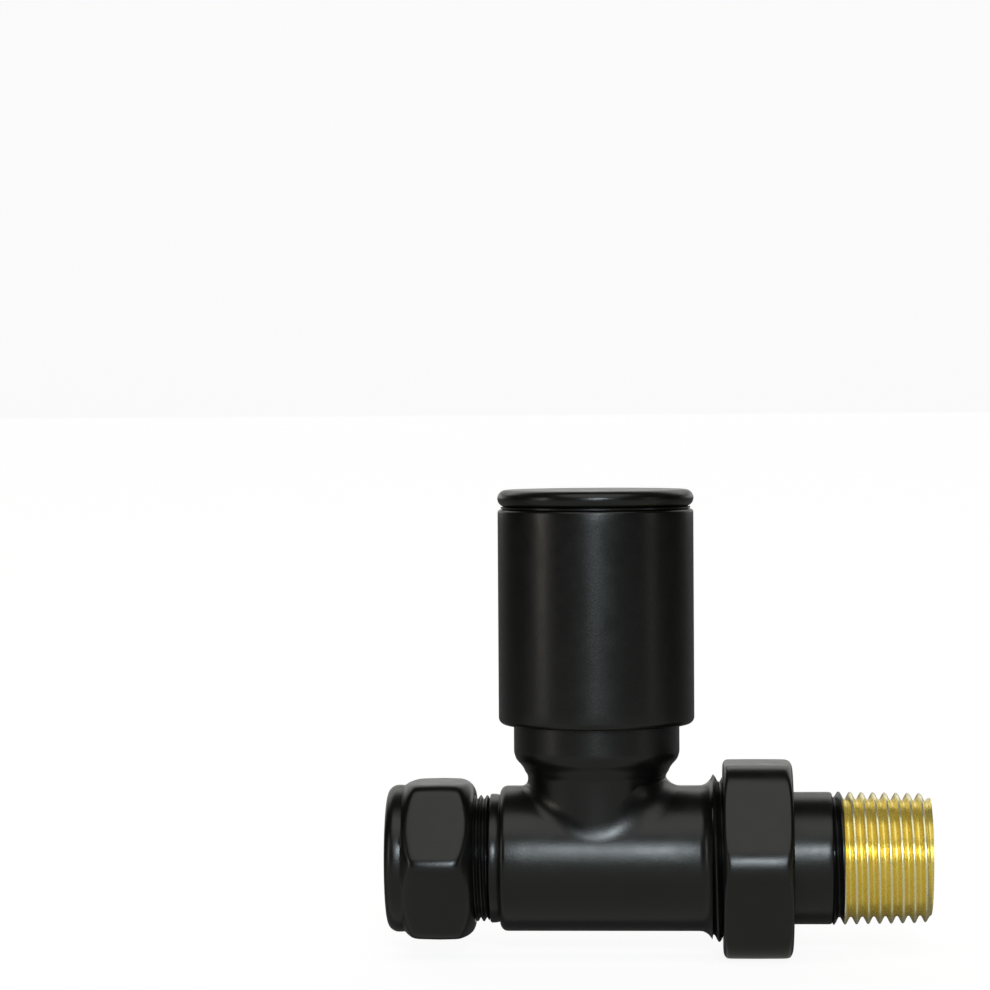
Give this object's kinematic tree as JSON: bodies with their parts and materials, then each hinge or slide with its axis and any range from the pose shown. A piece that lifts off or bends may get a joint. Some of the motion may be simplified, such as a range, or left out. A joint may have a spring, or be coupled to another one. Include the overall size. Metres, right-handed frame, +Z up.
{
  "type": "lockshield valve",
  "caption": "Straight black lockshield radiator valve with a plain round shield cap, a compression nut on the pipe side and a union nut with a brass-threaded tail on the radiator side.",
  "frame": {"origin": "where the waterway axis and the spindle axis cross, inside the tee body, which the pipework holds", "axes": "+X along the waterway from the pipe socket to the radiator tail, +Z up the spindle towards the shield cap, +Y across the waterway"},
  "size_m": [0.0858, 0.0352, 0.0738],
  "materials": {
    "black_powder_coat": "satin black powder coat",
    "brass": "bare machined brass",
    "black_rubber": "moulded rubber",
    "grey_fibre": "pressed fibre packing",
    "white_nylon": "moulded nylon",
    "spring_steel": "bright spring steel"
  },
  "bodies": {
    "valve": {"valve_body": "black_powder_coat", "bonnet": "brass", "bonnet_o_ring": "black_rubber", "packing_ring": "grey_fibre", "gland_nut": "brass", "cap_grip_ring": "black_rubber"},
    "jumper": {"jumper": "brass", "seat_washer": "black_rubber", "washer_screw": "brass"},
    "spindle": {"spindle": "brass", "spindle_o_ring_lower": "black_rubber", "spindle_o_ring_upper": "black_rubber", "spindle_clip": "spring_steel"},
    "cap_carrier": {"cap_insert": "white_nylon"},
    "cap": {"cap_sleeve": "black_powder_coat", "cap_top_disc": "black_powder_coat"},
    "olive": {"olive": "brass"},
    "compression_nut": {"compression_nut": "black_powder_coat"},
    "tail": {"union_tail": "brass", "tail_o_ring": "black_rubber"},
    "union_nut": {"union_nut": "black_powder_coat"}
  },
  "joints": [
    {"name": "jumper_lift", "type": "slide", "parent": "valve", "child": "jumper", "axis": [0, 0, 1], "range_m": [0, 0.00375]},
    {"name": "spindle_turn", "type": "hinge", "parent": "jumper", "child": "spindle", "pos_m": [0, 0, 0.028], "axis": [0, 0, 1], "range_deg": [0, 900.5]},
    {"name": "cap_pull", "type": "slide", "parent": "valve", "child": "cap_carrier", "axis": [0, 0, 1], "range_m": [0, 0.045]},
    {"name": "cap_spin", "type": "hinge", "parent": "cap_carrier", "child": "cap", "pos_m": [0, 0, 0.0388], "axis": [0, 0, 1], "continuous": true},
    {"name": "olive_slide", "type": "slide", "parent": "valve", "child": "olive", "axis": [-1, 0, 0], "range_m": [0, 0.0075]},
    {"name": "compression_nut_turn", "type": "hinge", "parent": "olive", "child": "compression_nut", "pos_m": [-0.0262, 0, 0], "axis": [-1, 0, 0], "range_deg": [0, 2700.5]},
    {"name": "tail_slide", "type": "slide", "parent": "valve", "child": "tail", "axis": [1, 0, 0], "range_m": [0, 0.00726]},
    {"name": "union_nut_turn", "type": "hinge", "parent": "tail", "child": "union_nut", "pos_m": [0.0256, 0, 0], "axis": [1, 0, 0], "range_deg": [0, 1440.5]}
  ],
  "couplings": [
    {"joint": "spindle_turn", "follows": "jumper_lift", "rad_per_m": 4188.8},
    {"joint": "compression_nut_turn", "follows": "olive_slide", "rad_per_m": 6283.2},
    {"joint": "union_nut_turn", "follows": "tail_slide", "rad_per_m": 3463.7}
  ]
}
